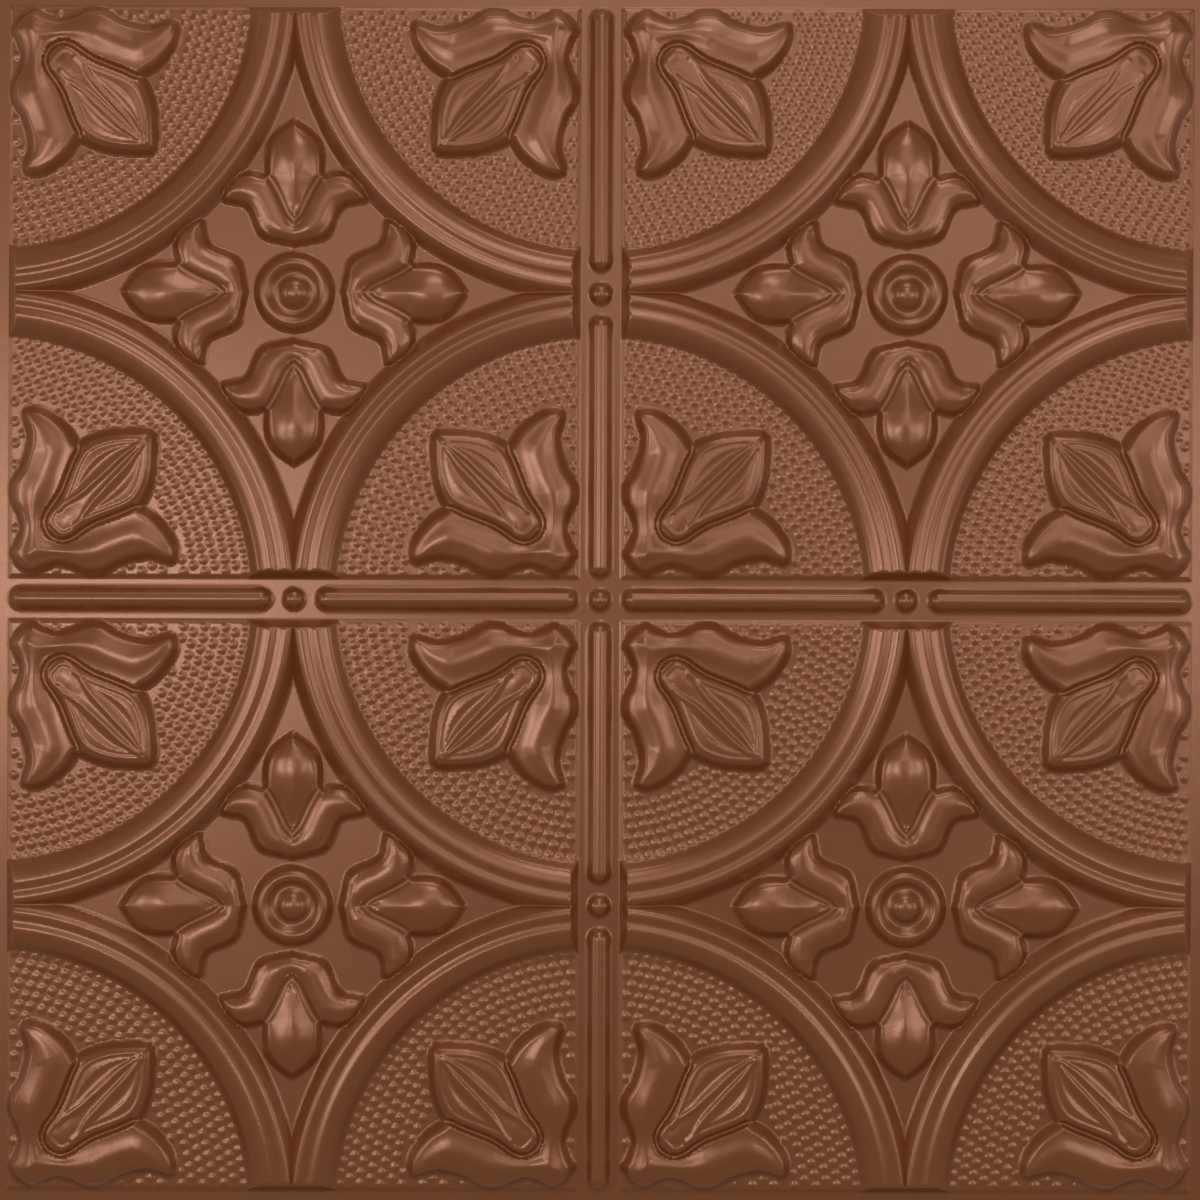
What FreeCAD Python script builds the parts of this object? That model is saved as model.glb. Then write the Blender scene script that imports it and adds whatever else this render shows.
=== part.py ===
"""Pressed tin ceiling tile: one square of thin steel sheet with a raised pattern, hollow behind.

The pattern is a 12 in repeat, two by two. Rails with half-round bars and buttons cross in the middle. A
moulding runs as a circle round every rail crossing, a leaf sits in each quarter of it, and the diamonds that
the mouldings leave hold a rosette with four fleurs. The front is modelled as the face of a solid form: one
cell, half a repeat each way, is mirrored into a quarter of the tile and then into the whole. The sheet is what
lies between that face and the same face lowered by the gauge.

The frame: millimetres, origin at the middle of the underside, X and Y along the edges, Z up out of the face.
"""

import FreeCAD
import Part
import math
import os
import Sketcher

from FreeCAD import Placement, Rotation, Vector

SIZES = {
    # The sheet: 30 gauge steel, made a quarter inch smaller than the 24 in grid that it drops into.
    "gauge": 0.3,
    "repeat": 304.8,
    "grid_gap": 6.35,
    # The rails: flat bands with half-round bars and round buttons, and the field that stands a step above
    # them. Each run is measured inwards from the one before, and each bead's rise from the flat of the rail.
    "rail_half": 10.4,
    "field_rise": 1.0,
    "field_draft": 1.4,
    "bar_half": 6.0,
    "bar_gap": 10.4,
    "bar_wall_run": 2.4,
    "bar_wall_rise": 2.7,
    "bar_top_run": 2.3,
    "bar_top_rise": 4.2,
    "button_half": 5.9,
    "button_wall_run": 2.2,
    "button_wall_rise": 2.4,
    "button_top_run": 2.1,
    "button_top_rise": 3.9,
    # The circular moulding: how far it reaches past the middle of the repeat, then its section from the
    # outside in. Each run is measured inwards from the one before, and each rise from the field.
    "ring_overlap": 4.8,
    "ring_wall_run": 6.0,
    "ring_wall_rise": 6.0,
    "ring_groove_run": 5.4,
    "ring_groove_rise": 5.1,
    "ring_bead_run": 4.6,
    "ring_bead_rise": 6.1,
    "ring_slope_run": 5.8,
    "ring_slope_rise": 4.3,
    "ring_foot_run": 4.7,
    "ring_end_slope": 0.65,
    # The rosette: its radius, then its section from the outside in, as for the moulding.
    "rose_foot": 21.0,
    "rose_wall_run": 3.8,
    "rose_wall_rise": 4.6,
    "rose_dip_run": 6.4,
    "rose_dip_rise": 1.6,
    "boss_wall_run": 4.2,
    "boss_wall_rise": 4.0,
    "boss_top_rise": 6.0,
    # The fleurs: from their tips to the rail's middle line, their side walls, and the keel above the walls.
    "fleur_gap": 65.4,
    "fleur_wall_run": 3.5,
    "fleur_wall": 4.2,
    "fleur_crown": 3.0,
    # The leaves: from the tip of the bud to the moulding, their side walls, and the ridge above the walls.
    "leaf_gap": 13.2,
    "leaf_wall_run": 4.0,
    "leaf_wall": 4.8,
    "leaf_crown": 2.2,
    # The form under the face reaches this far below the field.
    "form_depth": 12.0,
}

# Half of a fleur's foot, from the middle of its base to its tip: across and along its axis, for a tip at 1,
# and the crown points that the top climbs to from there.
FLEUR_OUTLINE = [
    (0.000, 0.260, "base"),
    (0.138, 0.285, "base"),
    (0.224, 0.345, "band"),
    (0.269, 0.460, "band"),
    (0.411, 0.513, "curl"),
    (0.423, 0.575, "curl"),
    (0.322, 0.687, "curl"),
    (0.175, 0.685, "curl band base throat keel"),
    (0.175, 0.793, "keel"),
    (0.110, 0.920, "keel"),
    (0.000, 1.000, "keel"),
]

# The crown points of half a fleur: across and along as above, and the height over the walls, for a keel at 1.
FLEUR_CROWN = {
    "base": (0.000, 0.345, 0.5),
    "band": (0.170, 0.450, 0.5),
    "curl": (0.310, 0.600, 0.4),
    "throat": (0.000, 0.437, -0.5),
    "keel": (0.000, 0.760, 1.0),
}

# Half of a leaf's foot, from the corner of the rails to the tip of its bud, which is at (1, 1).
LEAF_OUTLINE = [
    (0.180, 0.180, "lump"),
    (0.284, 0.137, "lump"),
    (0.423, 0.184, "root"),
    (0.600, 0.135, "root"),
    (0.745, 0.156, "bend"),
    (0.910, 0.224, "bend"),
    (1.118, 0.200, "curl"),
    (1.151, 0.288, "curl"),
    (1.058, 0.469, "curl"),
    (0.945, 0.550, "curl bend root lump stem bud"),
    (1.014, 0.745, "bud"),
    (1.000, 1.000, "bud"),
]

LEAF_CROWN = {
    "lump": (0.290, 0.290, 0.6),
    "root": (0.505, 0.285, 0.8),
    "bend": (0.775, 0.360, 1.0),
    "curl": (1.020, 0.335, 0.7),
    "stem": (0.440, 0.440, -0.4),
    "bud": (0.780, 0.780, 0.5),
}


def make_sheet_of_sizes(doc):
    """The spreadsheet that drives the model: a name and its value in each row."""
    sheet = doc.addObject("Spreadsheet::Sheet", "sizes")
    for row, (name, value) in enumerate(SIZES.items(), start=1):
        sheet.set("A%d" % row, name)
        sheet.set("B%d" % row, str(value))
        sheet.setAlias("B%d" % row, name)
    doc.recompute()
    return sheet


def add(doc, kind, name, fixed=None, bound=None):
    """An object of the document with fixed properties, and others bound to formulas of the sizes."""
    made = doc.addObject(kind, name)
    for key, value in (fixed or {}).items():
        setattr(made, key, value)
    for key, formula in (bound or {}).items():
        made.setExpression(key, formula)
    return made


def section(doc, name, corners):
    """A closed sketch standing on the X axis, its corners given as formulas: distance from Z, and height."""
    sketch = doc.addObject("Sketcher::SketchObject", name)
    sketch.Placement = Placement(Vector(), Rotation(Vector(1, 0, 0), 90))
    places = [Vector(doc.sizes.evalExpression(r), doc.sizes.evalExpression(z), 0) for r, z in corners]
    count = len(places)
    for i, place in enumerate(places):
        sketch.addGeometry(Part.LineSegment(place, places[(i + 1) % count]))
    for i in range(count):
        sketch.addConstraint(Sketcher.Constraint("Coincident", i, 1, (i - 1) % count, 2))
    for i, (place, formulas) in enumerate(zip(places, corners)):
        for kind, value, formula in zip(("DistanceX", "DistanceY"), place, formulas):
            number = sketch.addConstraint(Sketcher.Constraint(kind, -1, 1, i, 1, value))
            sketch.setExpression("Constraints[%d]" % number, formula)
    return sketch


FIELD = "(sizes.gauge + sizes.field_rise)"


def raised(name):
    """The height of a point of the face, from its rise above the field."""
    return FIELD + " + sizes." + name


def window(doc, name, draft, top):
    """A block over one cell that clears the rails by a draft: so much back from the rail for each rise."""
    low = "(sizes.rail_half - %s * sizes.gauge)" % draft
    high = "(sizes.rail_half + %s * (%s - sizes.gauge))" % (draft, top)
    return add(
        doc, "Part::Wedge", name, {"Placement": Placement(Vector(), Rotation(Vector(1, 0, 0), 90))},
        {
            "Xmin": low,
            "Zmax": "-" + low,
            "X2min": high,
            "Z2max": "-" + high,
            "Xmax": "sizes.repeat",
            "X2max": "sizes.repeat",
            "Zmin": "-sizes.repeat",
            "Z2min": "-sizes.repeat",
            "Ymin": "0",
            "Ymax": top,
        },
    )


def make_ground(doc):
    """The flat of the rails under one cell, half a repeat each way, and the field a step above it."""
    rails = add(
        doc, "Part::Box", "rails", {},
        {
            "Length": "sizes.repeat / 2",
            "Width": "sizes.repeat / 2",
            "Height": "sizes.form_depth + sizes.gauge",
            "Placement.Base.z": "-sizes.form_depth",
        },
    )
    return [rails, window(doc, "field", "sizes.field_draft / sizes.field_rise", FIELD)]


def stepped_in(radius, names):
    """Corners of a turned section from its foot inwards: each name gives a run and a rise above the field.

    Its outer wall goes on below the field, down to the level of the rails.
    """
    foot = radius + " + sizes.%s_run * sizes.field_rise / sizes.%s_rise" % (names[0], names[0])
    corners = [(foot, "0"), (foot, "sizes.gauge")]
    for name in names:
        radius += " - sizes." + name + "_run"
        corners.append((radius, raised(name + "_rise")))
    return corners


RING_FOOT = "sizes.repeat / 2 + sizes.ring_overlap"
RING_STEPS = ("ring_wall", "ring_groove", "ring_bead", "ring_slope")
RING_INNER_FOOT = " - sizes.".join([RING_FOOT] + [name + "_run" for name in RING_STEPS + ("ring_foot",)])


def make_ring(doc):
    """A quarter of the circular moulding, cut off by a slope at each rail."""
    corners = stepped_in(RING_FOOT, RING_STEPS)
    inner = RING_INNER_FOOT + " - sizes.ring_foot_run * sizes.field_rise / sizes.ring_slope_rise"
    corners += [(inner, "sizes.gauge"), (inner, "0")]
    outline = section(doc, "ring_section", corners)
    turned = add(
        doc, "Part::Revolution", "ring_turned",
        {"Source": outline, "Axis": Vector(0, 0, 1), "Angle": 90, "Solid": True},
    )
    ends = window(doc, "ring_window", "sizes.ring_end_slope", "(" + raised("ring_bead_rise") + ")")
    return add(doc, "Part::MultiCommon", "ring", {"Shapes": [turned, ends]})


def make_rosette(doc):
    """A quarter of the round rosette in the middle of a diamond: a rounded rim round a domed boss."""
    corners = [("0", "0")] + stepped_in("sizes.rose_foot", ("rose_wall", "rose_dip", "boss_wall"))
    corners.append(("0", raised("boss_top_rise")))
    return add(
        doc, "Part::Revolution", "rosette",
        {
            "Source": section(doc, "rosette_section", corners),
            "Axis": Vector(0, 0, 1),
            "Angle": 90,
            "Solid": True,
            "Placement": Placement(Vector(), Rotation(Vector(0, 0, 1), 180)),
        },
        {"Placement.Base.x": "sizes.repeat / 2", "Placement.Base.y": "sizes.repeat / 2"},
    )


def inset(points, distance):
    """The same outline moved inwards by a distance, with mitred corners. The points run anticlockwise."""
    moved = []
    count = len(points)
    for i, point in enumerate(points):
        before = (point - points[i - 1]).normalize()
        after = (points[(i + 1) % count] - point).normalize()
        normals = [Vector(-way.y, way.x, 0) for way in (before, after)]
        mitre = normals[0] + normals[1]
        moved.append(point + mitre * (distance / mitre.dot(normals[0])))
    return moved


def lifted(points, height):
    """The same points, all at one height."""
    return [Vector(point.x, point.y, height) for point in points]


def facet(*corners):
    """One flat face with these corners."""
    return Part.Face(Part.makePolygon(list(corners) + [corners[0]]))


def walls_between(lower, upper):
    """Flat faces between two outlines with as many points, one of them inset or lifted."""
    count = len(lower)
    return [facet(lower[i], lower[(i + 1) % count], upper[(i + 1) % count], upper[i]) for i in range(count)]


def solid_of(faces):
    """A solid closed by flat faces, turned the right way out."""
    shell = Part.makeCompound(faces)
    shell.sewShape()
    solid = Part.makeSolid(shell.Shells[0])
    if solid.Volume < 0:
        solid.reverse()
    return solid


def crown_facets(tops, ways, crown):
    """Triangles that climb from the top edge of the walls to the crown points that each point of it names."""
    facets = []
    for i, (point, names) in enumerate(zip(tops, ways)):
        for first, second in zip(names, names[1:]):
            facets.append((point, crown[first], crown[second]))
        if i + 1 < len(tops):
            ahead = ways[i + 1][0]
            facets.append((point, tops[i + 1], crown[ahead]))
            if ahead != names[-1]:
                facets.append((point, crown[names[-1]], crown[ahead]))
    return facets


def crowned_pad(doc, kind, tip, outline, crown, image):
    """A fleur or a leaf: steep walls up from the rails' level, then a ridged top. Its other half comes by image."""
    wall, run = doc.sizes.get(kind + "_wall"), doc.sizes.get(kind + "_wall_run")
    top = doc.sizes.gauge + doc.sizes.field_rise + wall
    half = [Vector(x * tip, y * tip, 0) for x, y, _ in outline]
    foot = inset(half + [image(point) for point in half[-2:0:-1]], -run * doc.sizes.field_rise / wall)
    tops = lifted(inset(foot, run * (top - doc.sizes.gauge) / wall), top)
    peaks = {}
    for name, (x, y, share) in crown.items():
        peaks[name] = Vector(x * tip, y * tip, top + share * doc.sizes.get(kind + "_crown"))
    ways = [names.split() for _, _, names in outline]
    triangles = crown_facets(tops[:len(outline)], ways, peaks)
    start = lifted(foot, doc.sizes.gauge)
    faces = [facet(*foot)] + walls_between(foot, start) + walls_between(start, tops)
    for corners in triangles:
        faces.append(facet(*corners))
        faces.append(facet(*[image(corner) for corner in corners]))
    return solid_of(faces)


def make_fleurs(doc):
    """The two fleurs that lie half in a cell, pointing away from the rosette at its far corner."""
    tip = doc.sizes.repeat / 2 - doc.sizes.fleur_gap
    half_turn = Placement(Vector(), Rotation(Vector(0, 0, 1), 180))
    middle = {"Placement.Base.x": "sizes.repeat / 2", "Placement.Base.y": "sizes.repeat / 2"}
    down = add(doc, "Part::Feature", "fleur_along_y")
    down.Shape = crowned_pad(doc, "fleur", tip, FLEUR_OUTLINE, FLEUR_CROWN, lambda p: Vector(-p.x, p.y, p.z))
    down.Placement = half_turn
    for key, formula in middle.items():
        down.setExpression(key, formula)
    across = add(doc, "Part::Mirroring", "fleur_along_x", {"Source": down, "Normal": Vector(1, -1, 0)})
    return [down, across]


def make_leaf(doc):
    """The leaf in the corner of a cell: two curling petals and a bud on the diagonal."""
    tip = (doc.sizes.evalExpression(RING_INNER_FOOT) - doc.sizes.leaf_gap) / math.sqrt(2)
    made = add(doc, "Part::Feature", "leaf")
    made.Shape = crowned_pad(doc, "leaf", tip, LEAF_OUTLINE, LEAF_CROWN, lambda p: Vector(p.y, p.x, p.z))
    return made


def round_ended(half, start, stop):
    """The outline of a bar along Y with round ends about start and stop: a circle where they are the same."""
    steps = 6
    outer = half / math.cos(math.pi / (2 * steps))
    points = []
    for k in range(2 * steps):
        turn = (k + 0.5) * math.pi / steps
        middle = stop if k < steps else start
        points.append(Vector(outer * math.cos(turn), middle + outer * math.sin(turn), 0))
    return points


def make_bead(doc, name, kind, start, stop):
    """A bar or a button on the rail along Y: a steep side, a rounded shoulder and a narrow flat top."""
    keys = ("half", "wall_run", "wall_rise", "top_run", "top_rise")
    size = {key: doc.sizes.get(kind + "_" + key) for key in keys}
    flat = doc.sizes.gauge
    foot = round_ended(size["half"], start, stop)
    shoulder = lifted(inset(foot, size["wall_run"]), flat + size["wall_rise"])
    top = lifted(inset(foot, size["wall_run"] + size["top_run"]), flat + size["top_rise"])
    faces = [facet(*foot), facet(*top)]
    for lower, upper in ((foot, lifted(foot, flat)), (lifted(foot, flat), shoulder), (shoulder, top)):
        faces += walls_between(lower, upper)
    made = add(doc, "Part::Feature", name)
    made.Shape = solid_of(faces)
    return made


def make_beads(doc):
    """The bars and buttons on the rails of one quarter of the tile. The quarter's edges cut each of them in half."""
    cell = doc.sizes.repeat / 2
    end = doc.sizes.bar_gap + doc.sizes.bar_half
    on_axis = [
        make_bead(doc, "inner_bar", "bar", end, cell - end),
        make_bead(doc, "outer_bar", "bar", cell + end, 2 * cell - end),
        make_bead(doc, "middle_button", "button", cell, cell),
    ]
    beads = [make_bead(doc, "crossing_button", "button", 0, 0)]
    for bead in on_axis:
        image = add(doc, "Part::Mirroring", bead.Name + "_image", {"Source": bead, "Normal": Vector(1, -1, 0)})
        beads += [bead, image]
    return beads


HALF_SIDE = "(sizes.repeat - sizes.grid_gap / 2)"


def make_column(doc, name, side):
    """A square column that trims the form to a cell or to a quarter of the tile."""
    return add(
        doc, "Part::Box", name, {},
        {
            "Length": side,
            "Width": side,
            "Height": "2 * sizes.form_depth",
            "Placement.Base.z": "-sizes.form_depth",
        },
    )


def mirrored_pair(doc, source, name, across, formula=None):
    """A solid fused with its mirror image across a plane square to one axis."""
    bound = {"Base." + across: formula} if formula else {}
    normal = Vector(1, 0, 0) if across == "x" else Vector(0, 1, 0)
    image = add(doc, "Part::Mirroring", name + "_image", {"Source": source, "Normal": normal}, bound)
    return add(doc, "Part::MultiFuse", name, {"Shapes": [source, image], "Refine": True})


def make_form(doc):
    """The solid form under the face of one quarter of the tile."""
    parts = make_ground(doc) + [make_ring(doc), make_rosette(doc), make_leaf(doc)] + make_fleurs(doc)
    cell = add(doc, "Part::MultiFuse", "cell_fused", {"Shapes": parts})
    column = make_column(doc, "cell_column", "sizes.repeat / 2")
    cell = add(doc, "Part::MultiCommon", "cell", {"Shapes": [cell, column], "Refine": True})
    strip = mirrored_pair(doc, cell, "cell_pair", "x", "sizes.repeat / 2")
    quarter = mirrored_pair(doc, strip, "cell_four", "y", "sizes.repeat / 2")
    beaded = add(doc, "Part::MultiFuse", "quarter_beaded", {"Shapes": [quarter] + make_beads(doc)})
    column = make_column(doc, "quarter_column", HALF_SIDE)
    return add(doc, "Part::MultiCommon", "form", {"Shapes": [beaded, column], "Refine": True})


FLAT_ENOUGH = 0.001


def looks_up(face):
    """True for a face of the form that the stamp touches, and not for a side or the underside."""
    return face.normalAt(*face.Surface.parameter(face.CenterOfMass)).z > FLAT_ENOUGH


def make_pressed_sheet(doc):
    """The sheet: the whole face, the same face lowered by the gauge, and the cut edge between them."""
    form = make_form(doc)
    doc.recompute()
    quarter = Part.makeCompound([face for face in form.Shape.Faces if looks_up(face)])
    half = Part.makeCompound([quarter, quarter.mirror(Vector(), Vector(1, 0, 0))])
    face = Part.makeCompound([half, half.mirror(Vector(), Vector(0, 1, 0))])
    face.sewShape()
    drop = Vector(0, 0, -doc.sizes.gauge)
    edge = doc.sizes.evalExpression(HALF_SIDE)
    rim = []
    for line in face.Edges:
        middle = line.CenterOfMass
        if max(abs(middle.x), abs(middle.y)) > edge - FLAT_ENOUGH:
            rim.append(line.extrude(drop))
    made = add(doc, "Part::Feature", "pressed_sheet")
    made.Shape = solid_of([face, face.translated(drop)] + rim)
    return made


def check(doc, pieces):
    """Stops on any object that failed, and on a piece that is not one valid solid."""
    for thing in doc.Objects:
        if "Invalid" in thing.State or "Error" in thing.State:
            raise RuntimeError(thing.Name + " failed: " + str(thing.State))
    for piece in pieces:
        shape = piece.Shape
        if shape.isNull() or not shape.isValid() or len(shape.Solids) != 1:
            raise RuntimeError(piece.Label + " is not one valid solid")


doc = FreeCAD.newDocument("ceiling_tile")
make_sheet_of_sizes(doc)
pieces = [make_pressed_sheet(doc)]
doc.recompute()
check(doc, pieces)
os.makedirs("parts", exist_ok=True)
for piece in pieces:
    piece.Shape.exportStep(os.path.join("parts", piece.Label + ".step"))
    box = piece.Shape.BoundBox
    print(piece.Label, "%.2f x %.2f x %.2f mm" % (box.XLength, box.YLength, box.ZLength))
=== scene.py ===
import math

import bpy
import numpy as np
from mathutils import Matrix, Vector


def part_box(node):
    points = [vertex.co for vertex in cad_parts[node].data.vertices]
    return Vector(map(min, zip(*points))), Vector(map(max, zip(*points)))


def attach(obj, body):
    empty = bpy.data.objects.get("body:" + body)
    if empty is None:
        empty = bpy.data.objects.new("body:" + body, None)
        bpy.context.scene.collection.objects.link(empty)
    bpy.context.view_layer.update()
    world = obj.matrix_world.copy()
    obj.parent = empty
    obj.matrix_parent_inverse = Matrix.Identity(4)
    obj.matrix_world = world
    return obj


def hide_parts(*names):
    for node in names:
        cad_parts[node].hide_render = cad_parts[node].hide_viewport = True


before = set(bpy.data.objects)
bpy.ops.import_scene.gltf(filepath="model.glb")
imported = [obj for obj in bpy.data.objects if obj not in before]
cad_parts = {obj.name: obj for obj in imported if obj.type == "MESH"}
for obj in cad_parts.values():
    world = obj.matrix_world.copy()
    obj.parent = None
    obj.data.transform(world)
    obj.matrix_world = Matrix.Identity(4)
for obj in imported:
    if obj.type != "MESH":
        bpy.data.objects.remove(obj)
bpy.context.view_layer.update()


# The sheet: thin steel pressed in one stroke, so that every form on its face is hollow behind.
# Its pattern is a 12 in repeat that is mirrored about its middle lines, so one cell, half a repeat
# each way, holds it all: a and b are the distances in millimetres from the cell's two rail axes.

MM = 0.001
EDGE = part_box("pressed_sheet")[1][0] / MM
GAUGE = 0.3
CELL = 152.4


# The rails: flat bands that cross in the middle and run round the edge as the flange, a step below the
# fields between them. The two inner rails carry half-round bars between round buttons.

RAIL_HALF = 10.4
FIELD_RISE = 1.0
FIELD_EDGE = [(RAIL_HALF, 0.0), (RAIL_HALF + 1.6, FIELD_RISE)]
FIELD_SOFT = 0.5
FIELD_CORNER_SOFT = 0.3
BAR_SECTION = [(0.0, 4.2), (2.0, 3.85), (3.6, 2.7), (6.0, 0.0)]
BAR_HALF = 6.1
BAR_GAP = 10.4
BUTTON_SECTION = [(0.0, 3.9), (1.8, 3.55), (3.8, 2.3), (5.8, 0.0)]
BEAD_SOFT = 0.9


def eased(x, soft):
    """A ramp: 0 below 0 and x above it, its corner rounded by a parabola that reaches soft to each side."""
    return np.where(x < -soft, 0.0, np.where(x > soft, x, (x + soft) ** 2 / (4 * soft)))


def moulded(x, corners, soft):
    """A section through corners (place, height).

    It runs straight between them and level outside them, with each corner eased over soft.
    """
    height = np.full(np.shape(x), float(corners[0][1]))
    slope = 0.0
    for i, (place, level) in enumerate(corners):
        if i + 1 < len(corners):
            after = (corners[i + 1][1] - level) / (corners[i + 1][0] - place)
        else:
            after = 0.0
        height = height + (after - slope) * eased(x - place, soft)
        slope = after
    return height


def lower_of(p, q, soft):
    """The lower of two heights, with the crease between them eased over soft."""
    return q - eased(q - p, soft)


def field_height(a, b):
    """The flat of the rails, and the field that stands a step above them."""
    field_a, field_b = moulded(a, FIELD_EDGE, FIELD_SOFT), moulded(b, FIELD_EDGE, FIELD_SOFT)
    return lower_of(field_a, field_b, FIELD_CORNER_SOFT)


def bead_height(a, b, bead_a, bead_b):
    """The bars and buttons on a rail, where bead_a or bead_b says that it has them.

    A bar is its section taken by the distance from a line, which rounds its ends. A button is turned.
    """
    beads = np.zeros(np.shape(a))
    start, stop = BAR_GAP + BAR_HALF, CELL - BAR_GAP - BAR_HALF
    for across, along, there in ((a, b, bead_a), (b, a, bead_b)):
        if there:
            off_line = np.hypot(across, along - np.clip(along, start, stop))
            beads = np.maximum(beads, moulded(off_line, BAR_SECTION, BEAD_SOFT))
            off_middle = np.hypot(across, along - CELL)
            beads = np.maximum(beads, moulded(off_middle, BUTTON_SECTION, BEAD_SOFT))
    if bead_a and bead_b:
        beads = np.maximum(beads, moulded(np.hypot(a, b), BUTTON_SECTION, BEAD_SOFT))
    return beads


# The mouldings: a circle of two flat beads about every crossing of the rails, with a steep wall on
# both sides, cut off by a steep end at each rail. Sections start below the ground, as the rosette's
# and the walls' further down do, and the visible foot is where they come through it.

RING_SECTION = [
    (128.7, -2.0), (135.4, 4.3), (138.4, 5.4), (141.2, 6.0), (142.9, 5.95), (143.7, 5.55),
    (146.0, 5.2), (148.3, 5.9), (150.1, 6.1), (151.6, 5.6), (159.2, -2.0),
]
RING_SOFT = 0.95
RING_FEET = (130.9, 157.2)
RING_END = [(RAIL_HALF - 0.6, -2.0), (RAIL_HALF + 4.4, 6.6)]
RING_END_SOFT = 0.5


def ring_height(a, b):
    """The moulding's section turned about the crossing, no higher than a ramp from either rail."""
    turned = moulded(np.hypot(a, b), RING_SECTION, RING_SOFT)
    return lower_of(turned, moulded(np.minimum(a, b), RING_END, RING_END_SOFT), RING_END_SOFT)


# The rosettes: a rounded rim round a domed boss, in the middle of each diamond.

ROSE_SECTION = [
    (1.6, 6.0), (3.6, 5.5), (5.6, 4.3), (7.6, 2.2), (9.3, 1.4),
    (11.0, 2.0), (13.2, 4.1), (14.8, 4.7), (16.6, 4.2), (22.0, -2.0),
]
ROSE_SOFT = 1.1
ROSE_FOOT = 21.0


def rosette_height(a, b):
    """The rosette's section turned about the far corner of the cell."""
    return moulded(np.hypot(CELL - a, CELL - b), ROSE_SECTION, ROSE_SOFT)


# The fleurs: four round each rosette, pointing away from it. A keeled petal rises out of a fluted
# collar whose two ends curl outwards. Each path is half of one: across the axis, and along it.

TINY = 1e-9
TINY_SQUARE = 1e-12
FAR_OFF = 1e9
FLEUR_TOP = 4.2
FLEUR_WALL = [(-1.6, -2.0), (3.5, FLEUR_TOP), (5.0, FLEUR_TOP + 1.2), (9.0, FLEUR_TOP + 6.0)]
WALL_SOFT = 0.9
COLLAR_FLUTES = [(0.0, 0.0), (0.30, 1.5), (0.50, 1.25), (0.70, 1.5), (1.0, 0.1)]
FLUTE_SOFT = 0.2
COLLAR_FULL = 9.0
KEEL_ARCH = [(40.0, -0.6), (48.0, 0.9), (57.0, 2.4), (66.0, 2.9), (75.0, 2.2), (83.0, 0.2)]
ARCH_SOFT = 3.0
ROUND_FROM, KEELED_FROM = 74.0, 58.0
ROUND_POWER, KEEL_LOSS = 2.4, 1.0
FLEUR_GROOVE = [
    (0.9, FLEUR_TOP - 1.1), (2.4, FLEUR_TOP + 0.7), (3.8, FLEUR_TOP + 2.8), (6.5, FLEUR_TOP + 7.5),
]
FLEUR_GROOVE_SOFT = 0.9
FLEUR_GROOVE_EDGE_SOFT = 0.5


def smooth_run(points, steps=6):
    """A curve through points, each span a Catmull-Rom cubic, given as a row of short straight steps."""
    points = np.array(points, float)
    padded = np.vstack([2 * points[0] - points[1], points, 2 * points[-1] - points[-2]])
    p0, p1, p2, p3 = (padded[k:len(points) - 1 + k, None, :] for k in range(4))
    t = (np.arange(steps) / steps)[None, :, None]
    bend = p0 - 2.5 * p1 + 2 * p2 - p3 / 2
    twist = 1.5 * (p1 - p2) + (p3 - p0) / 2
    spans = p1 + t * (p2 - p0) / 2 + t**2 * bend + t**3 * twist
    return np.vstack([spans.reshape(-1, 2), points[-1:]])


def chained(*runs):
    """One path from smooth runs that meet end to end, with a corner at each meeting."""
    smooth = [smooth_run(run) for run in runs]
    return np.vstack([run[:-1] for run in smooth[:-1]] + [smooth[-1]])


def across_axis(path):
    """A path that starts on a fleur's axis, led on to it from its mirror image in that axis."""
    return np.vstack([path[:0:-1] * (-1, 1), path])


def nearest_on_step(start, stop, a, b):
    """For each point, the nearest place on a straight step, and how far off it lies each way."""
    (x0, y0), (x1, y1) = start, stop
    dx, dy = x1 - x0, y1 - y0
    t = np.clip(((a - x0) * dx + (b - y0) * dy) / (dx * dx + dy * dy + TINY_SQUARE), 0, 1)
    return x0 + t * dx, y0 + t * dy, a - x0 - t * dx, b - y0 - t * dy


def away_from(path, a, b):
    """How far each point is from a path of short steps."""
    best = np.full(np.shape(a), FAR_OFF)
    for start, stop in zip(path[:-1], path[1:]):
        _, _, off_a, off_b = nearest_on_step(start, stop, a, b)
        best = np.minimum(best, off_a**2 + off_b**2)
    return np.sqrt(best)


def inside(path, a, b):
    """True within a closed path: a line from the point to the right crosses it an odd number of times."""
    odd = np.zeros(np.shape(a), bool)
    for (x0, y0), (x1, y1) in zip(path, np.roll(path, -1, axis=0)):
        if y0 != y1:
            odd ^= ((y0 > b) != (y1 > b)) & (a < x0 + (b - y0) * (x1 - x0) / (y1 - y0))
    return odd


def depth_in(path, a, b):
    """How far a point lies inside a closed path, negative outside it."""
    gap = away_from(np.vstack([path, path[:1]]), a, b)
    return np.where(inside(path, a, b), gap, -gap)


def climb(x, start, stop):
    """A share that climbs evenly from 0 at start to 1 at stop, and stays level outside them."""
    return np.clip((x - start) / (stop - start), 0, 1)


FLEUR_FOOT = chained(
    [(0.0, 22.6), (6.0, 23.7), (10.6, 24.6), (15.0, 25.8), (18.6, 28.8), (20.9, 33.2),
     (22.4, 37.4), (24.4, 41.2), (27.6, 43.0), (32.0, 43.6), (35.8, 44.6), (37.2, 47.4),
     (36.2, 51.0), (33.6, 55.0), (30.2, 58.4), (26.0, 60.4), (21.4, 61.0), (15.2, 59.6)],
    [(15.2, 59.6), (15.5, 64.4), (15.1, 69.6), (13.6, 74.8), (10.3, 79.4), (5.6, 83.4), (0.0, 87.0)],
)
COLLAR_OUT = smooth_run([
    (0.0, 26.8), (6.0, 27.4), (12.0, 29.4), (15.4, 32.4), (17.6, 36.6),
    (19.7, 41.0), (22.8, 44.8), (27.0, 47.0), (31.6, 47.7), (34.4, 48.8),
])
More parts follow.
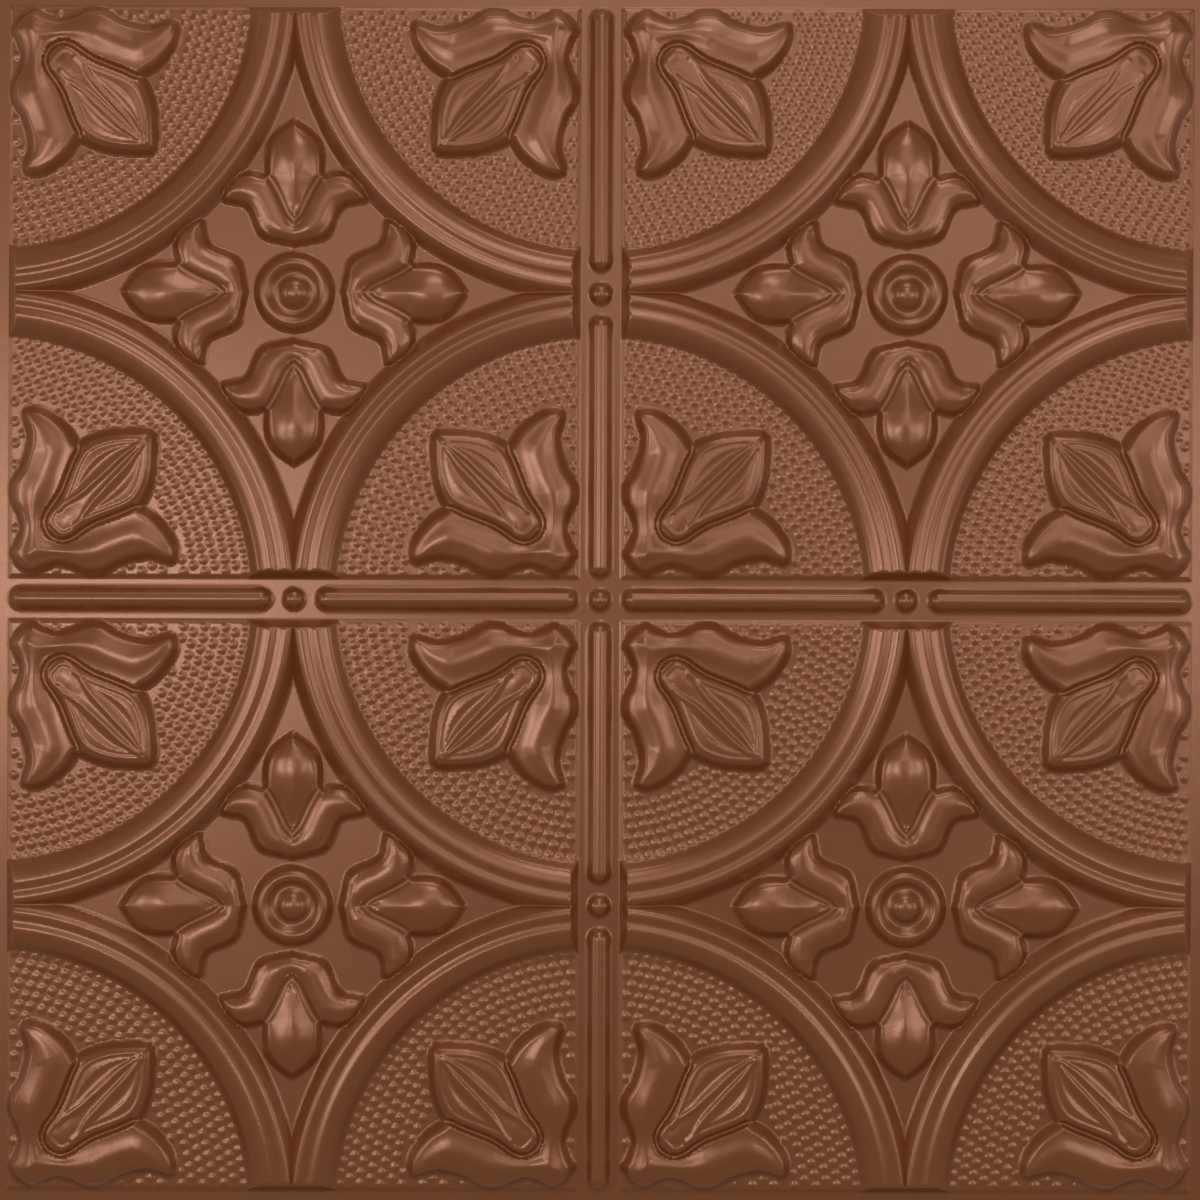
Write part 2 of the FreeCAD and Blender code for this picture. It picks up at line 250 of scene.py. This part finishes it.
COLLAR_LIP = chained(
    [(0.0, 33.0), (2.4, 34.4), (4.4, 38.2), (6.6, 43.6), (9.0, 49.0), (13.0, 55.8)],
    [(13.0, 55.8), (16.6, 56.7), (21.0, 56.9), (25.8, 56.0), (30.0, 54.2), (33.0, 51.8), (34.4, 48.8)],
)
PETAL_LINE = chained(
    [(0.0, 38.2), (2.2, 41.4), (4.8, 46.4), (7.6, 51.8), (11.4, 57.6)],
    [(11.4, 57.6), (12.1, 62.4), (12.0, 68.0), (10.6, 73.2), (6.6, 78.6), (0.0, 83.2)],
)
PETAL_GROOVE = smooth_run([(0.0, 35.7), (3.2, 39.4), (5.8, 44.8), (8.4, 50.2), (11.8, 56.0), (15.2, 59.6)])
PETAL_SIDE = np.vstack([PETAL_GROOVE, [(15.2, 90.0), (0.0, 90.0)]])


def fleur_height(across, along):
    """Walls that rise from the foot line, with a fluted collar and a keeled petal over them.

    The collar's height goes by a point's share of the way from its outer edge to its lip. The petal's
    is the keel's arch times 1 less a power of the share of the way still to go from its edge to the
    keel. The power is high towards the tip, where the petal is round, and low where it is keeled.
    """
    across = np.abs(across)
    walls = moulded(depth_in(across_axis(FLEUR_FOOT), across, along), FLEUR_WALL, WALL_SOFT)
    out, lip = away_from(across_axis(COLLAR_OUT), across, along), away_from(COLLAR_LIP, across, along)
    flutes = moulded(out / (out + lip + TINY), COLLAR_FLUTES, FLUTE_SOFT)
    collar = flutes * climb(out + lip, 0.0, COLLAR_FULL)
    edge = np.maximum(depth_in(across_axis(PETAL_LINE), across, along), 0)
    share = edge / (edge + across + TINY)
    power = ROUND_POWER - KEEL_LOSS * climb(along, ROUND_FROM, KEELED_FROM)
    petal = moulded(along, KEEL_ARCH, ARCH_SOFT) * (1 - (1 - share) ** power)
    in_petal = inside(across_axis(PETAL_SIDE), across, along)
    height = lower_of(walls, FLEUR_TOP + np.where(in_petal, petal, collar), WALL_SOFT)
    groove = moulded(away_from(PETAL_GROOVE, across, along), FLEUR_GROOVE, FLEUR_GROOVE_SOFT)
    return lower_of(height, groove, FLEUR_GROOVE_EDGE_SOFT)


# The leaves: one in each quarter of a moulding, even about the cell's diagonal. Two petals curl out
# of a lump in the corner of the rails, and a ribbed bud lies between them, with a groove round it.

LEAF_TOP = 4.8
LEAF_WALL = [(-1.6, -2.0), (4.1, LEAF_TOP), (6.0, LEAF_TOP + 1.4), (10.0, LEAF_TOP + 7.0)]
LEAF_GROOVE = [(0.7, LEAF_TOP - 2.2), (1.9, LEAF_TOP + 0.2), (3.0, LEAF_TOP + 2.8), (5.4, LEAF_TOP + 7.5)]
LEAF_GROOVE_SOFT = 0.7
LEAF_GROOVE_EDGE_SOFT = 0.3
PETAL_RIDGE = [(0.0, 0.0), (0.5, 1.0), (0.78, 0.25), (1.0, 0.35)]
RIDGE_SOFT = 0.2
RIDGE_HIGH = 1.7
PLAIN_UP_TO, RIDGED_FROM = 42.0, 62.0
PETAL_FULL = 18.0
BUD_CROWN, BUD_SHOULDER = 1.0, 9.0
RIM_HIGH, RIM_IN, RIM_WIDE = 0.5, 1.7, 2.0
RIB_HIGH, RIB_WIDE = 0.5, 2.2
HOLLOW_DEEP = 0.45
CHANNEL_DEEP, CHANNEL_SIDE = 0.4, 3.0
CHANNEL_FROM, CHANNEL_FULL = 82.0, 94.0


def across_diagonal(path):
    """A path that starts on the cell's diagonal, led on to it from its mirror image in the diagonal."""
    return np.vstack([path[:0:-1, ::-1], path])


LEAF_FOOT = across_diagonal(chained(
    [(15.0, 15.0), (18.6, 12.5), (23.6, 11.4), (29.4, 13.8), (35.2, 15.3), (41.0, 14.4), (46.6, 11.9),
     (53.0, 11.0), (59.4, 12.0), (67.0, 16.0), (75.7, 18.6), (82.0, 18.9), (87.2, 17.4), (92.0, 16.7),
     (95.0, 19.2), (95.7, 23.6), (94.6, 28.6), (91.0, 35.2), (85.0, 41.8), (78.6, 45.8)],
    [(78.6, 45.8), (81.8, 52.2), (84.0, 59.4), (85.1, 67.4), (85.4, 76.4), (84.8, 81.4), (83.2, 83.2)],
))
PETAL_OUT = across_diagonal(smooth_run([
    (17.8, 17.8), (21.2, 15.9), (24.6, 16.5), (29.6, 19.0), (35.0, 20.2), (40.8, 18.8), (46.6, 16.5),
    (53.6, 15.3), (60.2, 16.6), (67.2, 20.0), (74.4, 22.0), (82.0, 21.8), (87.6, 20.4), (91.2, 21.4),
]))
PETAL_IN = across_diagonal(smooth_run([
    (29.4, 29.4), (33.4, 27.3), (38.0, 26.8), (43.0, 28.3), (48.4, 31.8), (53.6, 35.2), (60.0, 37.9),
    (67.0, 40.6), (73.2, 42.0), (78.8, 40.4), (83.4, 37.0), (87.4, 32.6), (90.2, 27.8), (91.2, 21.4),
]))
BUD_GROOVE = across_diagonal(smooth_run([
    (31.2, 31.2), (34.8, 29.1), (38.8, 28.6), (43.4, 30.4), (48.2, 33.9),
    (53.8, 37.2), (60.8, 40.0), (68.2, 42.9), (73.6, 45.4), (78.6, 45.8),
]))
BUD_SIDE = np.vstack([[(46.0, 95.0)], BUD_GROOVE, [(95.0, 46.0), (95.0, 95.0)]])
BUD_LINE = across_diagonal(smooth_run([
    (33.2, 33.2), (36.0, 31.0), (39.2, 30.4), (43.2, 32.0), (47.6, 35.6),
    (53.2, 39.0), (60.6, 41.9), (68.0, 44.8), (73.4, 48.0), (76.8, 52.4),
    (79.2, 58.4), (80.8, 65.6), (81.2, 73.4), (81.0, 78.0), (80.0, 80.0),
]))
BUD_RIB = smooth_run([
    (43.8, 36.4), (47.2, 39.4), (49.8, 43.4), (53.2, 48.4),
    (57.6, 53.2), (64.0, 60.2), (70.8, 67.4), (77.4, 76.4),
])
BUD_CHANNEL = across_diagonal(np.vstack([[(40.1, 40.1)], BUD_RIB]))
HOLLOW_OUT = smooth_run([
    (76.2, 73.0), (75.6, 68.4), (73.8, 62.0), (70.4, 56.2), (66.0, 51.6), (60.4, 47.8), (53.6, 44.4),
])
HOLLOW_IN = smooth_run([(53.6, 44.4), (57.6, 50.4), (64.4, 57.8), (70.8, 64.8), (76.2, 73.0)])
BUD_HOLLOW = np.vstack([HOLLOW_OUT[:-1], HOLLOW_IN])


def crest(gap, wide):
    """A rounded crest over a line: 1 on it, falling as a cosine to 0 where the gap from it is wide."""
    return 0.5 + 0.5 * np.cos(np.pi * climb(gap, 0.0, wide))


def leaf_height(a, b):
    """Walls that rise from the foot line, with petals and a bud over them and a groove between.

    A petal's height goes by a point's share of the way from its outer to its inner edge, with the
    ridge half way, and it swells as a cosine where it leaves the lump. The bud is a low dome with a
    rim inside its edge and two ribs that part from its tip. A hollow lies outside each rib, as deep as
    the product of the gaps to its two sides over their sum, and a sunk channel lies between the ribs.
    """
    far, near = np.maximum(a, b), np.minimum(a, b)
    walls = moulded(depth_in(LEAF_FOOT, far, near), LEAF_WALL, WALL_SOFT)
    out, within = away_from(PETAL_OUT, far, near), away_from(PETAL_IN, far, near)
    share = out / (out + within + TINY)
    ridged = climb(far, PLAIN_UP_TO, RIDGED_FROM)
    swell = 0.5 - 0.5 * np.cos(2 * np.pi * share)
    petal = ridged * moulded(share, PETAL_RIDGE, RIDGE_SOFT) + (1 - ridged) * swell
    petal = petal * RIDGE_HIGH * climb(out + within, 0.0, PETAL_FULL)
    edge = depth_in(BUD_LINE, far, near)
    rib = away_from(BUD_RIB, far, near)
    from_out, from_in = away_from(HOLLOW_OUT, far, near), away_from(HOLLOW_IN, far, near)
    hollow = np.where(inside(BUD_HOLLOW, far, near), from_out * from_in / (from_out + from_in + TINY), 0.0)
    bud = BUD_CROWN * (1 - (1 - climb(edge, 0.0, BUD_SHOULDER)) ** 2)
    bud = bud + RIM_HIGH * crest(np.abs(edge - RIM_IN), RIM_WIDE)
    bud = bud - HOLLOW_DEEP * hollow + RIB_HIGH * crest(rib, RIB_WIDE)
    sunk = np.where(inside(BUD_CHANNEL, far, near), CHANNEL_DEEP * (1 - crest(rib, CHANNEL_SIDE)), 0.0)
    bud = bud - sunk * climb(far + near, CHANNEL_FROM, CHANNEL_FULL)
    height = lower_of(walls, LEAF_TOP + np.where(inside(BUD_SIDE, far, near), bud, petal), WALL_SOFT)
    groove = moulded(away_from(BUD_GROOVE, far, near), LEAF_GROOVE, LEAF_GROOVE_SOFT)
    return lower_of(height, groove, LEAF_GROOVE_EDGE_SOFT)


# The hammered ground: small domes in rows that follow the rails and the moulding, a little uneven,
# over the quarter circle that the leaf leaves free.

BUMP_PITCH = 5.7
BUMP_ROW_GAP = 0.9
BUMP_ROUND = 2.45
BUMP_RISE = 0.44
BUMP_POWER = 1.15
BUMP_ROW_OUT = 129.6
BUMP_RAIL_ROW = 13.9
BUMP_STRAY = 0.15
BUMP_CLEAR = 0.6
BUMP_SEED = 4


def bump_places(seed):
    """Centres in rows about the crossing, from one rail's edge to the other's.

    Every second row lies half a pitch on, and each centre strays a little from its place.
    """
    rng = np.random.default_rng(seed)
    places = []
    for row in range(int((BUMP_ROW_OUT - BUMP_RAIL_ROW) / (BUMP_ROW_GAP * BUMP_PITCH))):
        radius = BUMP_ROW_OUT - BUMP_ROW_GAP * BUMP_PITCH * row
        first = math.asin(min(1.0, BUMP_RAIL_ROW / radius))
        span = math.pi / 2 - 2 * first
        if span > 0:
            count = max(1, round(radius * span / BUMP_PITCH))
            turn = first + span * (np.arange(count + 1 - row % 2) + 0.5 * (row % 2)) / count
            places.append(np.stack([radius * np.cos(turn), radius * np.sin(turn)], axis=1))
    places = np.vstack(places)
    places += rng.normal(0, BUMP_STRAY, places.shape)
    return places[depth_in(LEAF_FOOT, *places.T) < -BUMP_CLEAR]


BUMPS = bump_places(BUMP_SEED)


def bump_height(a, b):
    """A dome over each centre, its rise times a power of 1 less the square of distance over radius."""
    nearest = np.full(np.shape(a), FAR_OFF)
    for x0, y0 in BUMPS:
        nearest = np.minimum(nearest, (a - x0) ** 2 + (b - y0) ** 2)
    return BUMP_RISE * np.clip(1 - nearest / BUMP_ROUND**2, 0, 1) ** BUMP_POWER


# The mesh: the face on a fine grid and the back on every third line of it, joined round the edge.
# It is made in eight panels, each two cells, so that none is too heavy. They meet on the pattern's
# axes. The face's points are drawn onto the creases, and its normals come from the heights themselves.

BACK_EVERY = 3
PLAIN_LINES = 144
OUTER_START = 2 * CELL - EDGE
RAIL_LINES = (
    0.0, 0.65, 1.3, OUTER_START - 1.0, OUTER_START, OUTER_START + 0.6,
    4.4, 5.2, 5.9, 6.8, 8.2, 9.4, 10.4, 11.0, 11.6,
)
LINES = np.append(RAIL_LINES[:-1], np.linspace(RAIL_LINES[-1], CELL, PLAIN_LINES + 1))
START = RAIL_LINES.index(OUTER_START)
STEP = LINES[-1] - LINES[-2]
REACH = 0.42 * STEP
ARC_STEPS = 120
PROBE = 0.25
GROUND_SOFT = 0.7


def both_ways(path):
    """A fleur's half path laid along both of the cell's far edges."""
    return [CELL - path, CELL - path[:, ::-1]]


def arc(radius, centre, start, stop):
    """An arc of short steps about a centre on the cell's diagonal."""
    turn = np.linspace(start, stop, ARC_STEPS + 1)
    return np.stack([centre + radius * np.cos(turn), centre + radius * np.sin(turn)], axis=1)


RING_CREASES = (RING_FEET[0], *(radius for radius, _ in RING_SECTION[1:-1]), RING_FEET[1])
ROSE_CREASES = (*(radius for radius, _ in ROSE_SECTION[1:-1]), ROSE_FOOT)
CREASES = [LEAF_FOOT, BUD_GROOVE, BUD_CHANNEL, BUD_HOLLOW, BUD_HOLLOW[:, ::-1]]
for half_path in (FLEUR_FOOT, PETAL_GROOVE):
    CREASES += both_ways(half_path)
CREASES += [arc(radius, 0.0, 0.0, math.pi / 2) for radius in RING_CREASES]
CREASES += [arc(radius, CELL, math.pi, 1.5 * math.pi) for radius in ROSE_CREASES]


def nearest_on(path, a, b):
    """For each point, how far a path of short steps is and its nearest place."""
    best = np.full(np.shape(a), FAR_OFF)
    near_a, near_b = np.array(a, float), np.array(b, float)
    for start, stop in zip(path[:-1], path[1:]):
        x, y, off_a, off_b = nearest_on_step(start, stop, a, b)
        gap = np.hypot(off_a, off_b)
        closer = gap < best
        best = np.where(closer, gap, best)
        near_a = np.where(closer, x, near_a)
        near_b = np.where(closer, y, near_b)
    return best, near_a, near_b


def drawn_to_creases(a, b):
    """The grid's inner points, each moved onto the nearest crease that lies within reach."""
    free = (a > RAIL_LINES[-1]) & (b > RAIL_LINES[-1]) & (a < CELL) & (b < CELL)
    best = np.where(free, REACH, -1.0)
    new_a, new_b = a.copy(), b.copy()
    for path in CREASES:
        gap, near_a, near_b = nearest_on(path, a, b)
        closer = gap < best
        best = np.where(closer, gap, best)
        new_a = np.where(closer, near_a, new_a)
        new_b = np.where(closer, near_b, new_b)
    return new_a, new_b


def upper_of(p, q, soft):
    """The higher of two heights, with the corner between them eased over soft."""
    return q + eased(p - q, soft)


def ornament(a, b):
    """The height above the rails of all that stands on a cell, bars and buttons left out."""
    height = np.maximum(ring_height(a, b), rosette_height(a, b))
    height = np.maximum(height, fleur_height(CELL - a, CELL - b))
    height = np.maximum(height, fleur_height(CELL - b, CELL - a))
    height = np.maximum(height, leaf_height(a, b))
    return upper_of(FIELD_RISE + height, field_height(a, b) + bump_height(a, b), GROUND_SOFT)


GRID_A, GRID_B = drawn_to_creases(*np.meshgrid(LINES, LINES, indexing="ij"))
MIDDLE_A, MIDDLE_B = ((g[:-1, :-1] + g[1:, :-1] + g[1:, 1:] + g[:-1, 1:]) / 4 for g in (GRID_A, GRID_B))
PLACES = [(GRID_A + da, GRID_B + db) for da, db in ((0, 0), (PROBE, 0), (-PROBE, 0), (0, PROBE), (0, -PROBE))]
PLACES.append((MIDDLE_A, MIDDLE_B))
ORNAMENT = [ornament(a, b) for a, b in PLACES]


def cell_face(bead_a, bead_b):
    """A cell's height on the grid, its slopes by heights a probe away, and the height mid-square."""
    level, right, left, up, down, middle = (
        np.maximum(raised, bead_height(a, b, bead_a, bead_b)) for raised, (a, b) in zip(ORNAMENT, PLACES)
    )
    return level, (right - left) / (2 * PROBE), (up - down) / (2 * PROBE), middle


def turned_to(block, middle, outer_x, outer_y):
    """A cell's arrays cut at the sheet's edge and put in order of rising x and y."""
    if outer_x:
        block, middle = block[:, START:, :], middle[START:, :]
    if outer_y:
        block, middle = block[:, :, START:], middle[:, START:]
    if block[0, 0, 0] > block[0, -1, 0]:
        block, middle = block[:, ::-1, :], middle[::-1, :]
    if block[1, 0, 0] > block[1, 0, -1]:
        block, middle = block[:, :, ::-1], middle[:, ::-1]
    return block, middle


def panel_arrays(side_x, sides_y):
    """Place, height and slopes over a panel, and the heights mid-square: one cell across and two along."""
    blocks, middles = [], []
    sign_x, outer_x = (1 if side_x >= 0 else -1), side_x in (-2, 1)
    for side_y in sides_y:
        sign_y, outer_y = (1 if side_y >= 0 else -1), side_y in (-2, 1)
        level, slope_a, slope_b, middle = cell_face(not outer_x, not outer_y)
        x = sign_x * (2 * CELL - GRID_A if outer_x else GRID_A)
        y = sign_y * (2 * CELL - GRID_B if outer_y else GRID_B)
        slope_x = slope_a * (-sign_x if outer_x else sign_x)
        slope_y = slope_b * (-sign_y if outer_y else sign_y)
        block, middle = turned_to(np.stack([x, y, level, slope_x, slope_y]), middle, outer_x, outer_y)
        blocks.append(block if not blocks else block[:, :, 1:])
        middles.append(middle)
    return np.concatenate(blocks, axis=2), np.concatenate(middles, axis=1)


def lowest_near(height, reach):
    """The least height within reach grid lines of each point."""
    low = height
    for axis in (0, 1):
        padded = np.pad(low, [(reach, reach) if k == axis else (0, 0) for k in (0, 1)], mode="edge")
        starts = range(2 * reach + 1)
        shifted = [np.take(padded, np.arange(k, k + low.shape[axis]), axis=axis) for k in starts]
        low = np.min(shifted, axis=0)
    return low


def kept_lines(count):
    """The grid lines that the back keeps: every third, and always the last."""
    return np.append(np.arange(0, count - 1, BACK_EVERY), count - 1)


def face_triangles(index, height, middle):
    """Two triangles in each square, split along the diagonal whose middle is nearer the true height."""
    c00, c10, c11, c01 = index[:-1, :-1], index[1:, :-1], index[1:, 1:], index[:-1, 1:]
    z00, z10, z11, z01 = height[:-1, :-1], height[1:, :-1], height[1:, 1:], height[:-1, 1:]
    rising = np.abs(middle - (z00 + z11) / 2) <= np.abs(middle - (z10 + z01) / 2)
    first = np.where(rising[..., None], np.stack([c00, c10, c11], -1), np.stack([c00, c10, c01], -1))
    second = np.where(rising[..., None], np.stack([c00, c11, c01], -1), np.stack([c10, c11, c01], -1))
    return np.vstack([first.reshape(-1, 3), second.reshape(-1, 3)])


def rim_faces(upper, lower, kept, flip):
    """Upright faces from the face's border down to the back's, each over one step of the back's lines."""
    faces = []
    for k, (first, last) in enumerate(zip(kept[:-1], kept[1:])):
        ring = [lower[k], lower[k + 1], *upper[first:last + 1][::-1]]
        faces.append(ring[::-1] if flip else ring)
    return faces


def panel_mesh(name, block, middle):
    """A closed panel: the face, a back the gauge under the lowest face near it, and upright edges."""
    x, y, height, slope_x, slope_y = block
    keep_x, keep_y = kept_lines(x.shape[0]), kept_lines(x.shape[1])
    under_face = lowest_near(height, BACK_EVERY - 1)[np.ix_(keep_x, keep_y)]
    face = np.stack([x, y, height + GAUGE], -1).reshape(-1, 3)
    back = np.stack([x[np.ix_(keep_x, keep_y)], y[np.ix_(keep_x, keep_y)], under_face], -1).reshape(-1, 3)
    top = np.arange(len(face)).reshape(x.shape)
    under = len(face) + np.arange(len(back)).reshape(under_face.shape)
    triangles = face_triangles(top, height, middle)
    squares = np.stack([under[:-1, :-1], under[:-1, 1:], under[1:, 1:], under[1:, :-1]], -1).reshape(-1, 4)
    rims = rim_faces(top[:, 0], under[:, 0], keep_x, False)
    rims += rim_faces(top[:, -1], under[:, -1], keep_x, True)
    rims += rim_faces(top[0, :], under[0, :], keep_y, True)
    rims += rim_faces(top[-1, :], under[-1, :], keep_y, False)

    mesh = bpy.data.meshes.new(name)
    mesh.from_pydata(np.vstack([face, back]) * MM, [], triangles.tolist() + squares.tolist() + rims)
    smooth = np.arange(len(mesh.polygons)) < len(triangles) + len(squares)
    mesh.polygons.foreach_set("use_smooth", smooth)
    upright = np.stack([-slope_x, -slope_y, np.ones_like(x)], -1).reshape(-1, 3)
    upright /= np.linalg.norm(upright, axis=1, keepdims=True)
    corners = np.zeros((len(mesh.loops), 3))
    corners[:triangles.size] = upright[triangles.ravel()]
    mesh.normals_split_custom_set(corners)
    made = bpy.data.objects.new(name, mesh)
    bpy.context.scene.collection.objects.link(made)
    return made


# The paint: bronze-brown metallic under a thin clear coat, all one shade, with an orange peel far too
# fine for the mesh. Each value that is the same all over is set on the shader's own socket.

BRONZE = (0.28, 0.087, 0.0165, 1)
PAINT = (
    ("Base Color", BRONZE), ("Metallic", 0.42), ("Roughness", 0.26), ("Specular IOR Level", 0.7),
    ("Coat Weight", 0.35), ("Coat Roughness", 0.2),
)
PEEL_SCALE = 1500
PEEL_DEEP = 0.00003


def painted_metal(name):
    """Satin metallic paint whose orange peel is a fine noise, as bump in the paint and in its coat."""
    made = bpy.data.materials.new(name)
    made.use_nodes = True
    nodes, links = made.node_tree.nodes, made.node_tree.links
    nodes.clear()
    out = nodes.new("ShaderNodeOutputMaterial")
    paint = nodes.new("ShaderNodeBsdfPrincipled")
    links.new(paint.outputs["BSDF"], out.inputs["Surface"])
    for socket, value in PAINT:
        paint.inputs[socket].default_value = value
    place = nodes.new("ShaderNodeTexCoord")
    peel = nodes.new("ShaderNodeTexNoise")
    peel.inputs["Scale"].default_value = PEEL_SCALE
    peel.inputs["Detail"].default_value = 1
    bump = nodes.new("ShaderNodeBump")
    bump.inputs["Distance"].default_value = PEEL_DEEP
    links.new(place.outputs["Object"], peel.inputs["Vector"])
    links.new(peel.outputs["Fac"], bump.inputs["Height"])
    links.new(bump.outputs["Normal"], paint.inputs["Normal"])
    links.new(bump.outputs["Normal"], paint.inputs["Coat Normal"])
    return made


paint = painted_metal("bronze_paint")
COLUMNS = (("left", -2), ("inner_left", -1), ("inner_right", 0), ("right", 1))
HALVES = (("low", (-2, -1)), ("high", (0, 1)))
for column, side_x in COLUMNS:
    for half, sides_y in HALVES:
        panel = panel_mesh("sheet_" + column + "_" + half, *panel_arrays(side_x, sides_y))
        panel.data.materials.append(paint)
        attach(panel, "root")
        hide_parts("pressed_sheet")


# The floor that the tile lies on: plain, pale and dull, a hair below the sheet.

FLOOR_HALF = 3.0
FLOOR_DROP = 0.0002
FLOOR_PALE = (0.72, 0.71, 0.69, 1)
FLOOR_DULL = 0.8
floor_mesh = bpy.data.meshes.new("floor")
floor_mesh.from_pydata(
    [(sx * FLOOR_HALF, sy * FLOOR_HALF, -FLOOR_DROP) for sx, sy in ((-1, -1), (1, -1), (1, 1), (-1, 1))],
    [], [(0, 1, 2, 3)],
)
floor = bpy.data.objects.new("floor", floor_mesh)
bpy.context.scene.collection.objects.link(floor)
pale = bpy.data.materials.new("pale_floor")
pale.use_nodes = True
pale.node_tree.nodes["Principled BSDF"].inputs["Base Color"].default_value = FLOOR_PALE
pale.node_tree.nodes["Principled BSDF"].inputs["Roughness"].default_value = FLOOR_DULL
floor.data.materials.append(pale)


# The light: three soft lamps overhead, which the satin paint's flats mirror as broad pools, and six
# aimed at the tile from its left, its right and behind, which light the beads and the walls. None
# stands in front, so the walls that face the photograph's lower edge stay dark, as they do in it.

ROOM_TINT = (1, 0.94, 0.86, 1)
ROOM_LIGHT = 0.28
LAMP_TINT = (0.92, 0.97, 1.0)
CAMERA_HIGH = 2.0
LAMPS = (
    ("lamp_left", (-0.48, 0.03, CAMERA_HIGH), (0.4, 0.14), 2.4, False),
    ("lamp_right", (0.66, 0.06, CAMERA_HIGH), (0.35, 0.35), 1.35, False),
    ("lamp_back", (0.2, 0.52, CAMERA_HIGH), (1.0, 0.55), 1.75, False),
    ("box_left", (-1.1, 0.05, 1.75), (0.55, 0.5), 3.0, True),
    ("box_right", (1.15, 0.1, 1.7), (0.55, 0.5), 2.3, True),
    ("box_back", (0.1, 1.15, 1.7), (0.55, 0.5), 2.7, True),
    ("low_left", (-1.8, 0.1, 0.9), (1.1, 0.6), 2.9, True),
    ("low_right", (1.8, 0.1, 0.85), (1.1, 0.6), 2.4, True),
    ("low_back", (0.1, 1.8, 0.85), (1.1, 0.6), 3.6, True),
)
world = bpy.data.worlds.new("room")
bpy.context.scene.world = world
world.use_nodes = True
world.node_tree.nodes["Background"].inputs["Color"].default_value = ROOM_TINT
world.node_tree.nodes["Background"].inputs["Strength"].default_value = ROOM_LIGHT

for lamp_name, place, size, power, aimed in LAMPS:
    light = bpy.data.lights.new(lamp_name, "AREA")
    light.shape = "ELLIPSE"
    light.size, light.size_y = size
    light.energy = power
    light.color = LAMP_TINT
    lamp = bpy.data.objects.new(lamp_name, light)
    lamp.location = place
    if aimed:
        lamp.rotation_euler = lamp.location.to_track_quat("Z", "Y").to_euler()
    bpy.context.scene.collection.objects.link(lamp)


# The camera: straight above, its frame just inside the tile's edges, as in the photograph.

FRAME_WIDE = 0.5973
PHOTO_TURN = math.radians(0.18)
SENSOR_WIDE = 36
lens = bpy.data.cameras.new("camera")
lens.sensor_width = SENSOR_WIDE
lens.lens = SENSOR_WIDE * CAMERA_HIGH / FRAME_WIDE
camera = bpy.data.objects.new("camera", lens)
camera.location = (0, 0, CAMERA_HIGH)
camera.rotation_euler = (0, 0, PHOTO_TURN)
bpy.context.scene.collection.objects.link(camera)
bpy.context.scene.camera = camera
bpy.context.scene.view_settings.view_transform = "Standard"
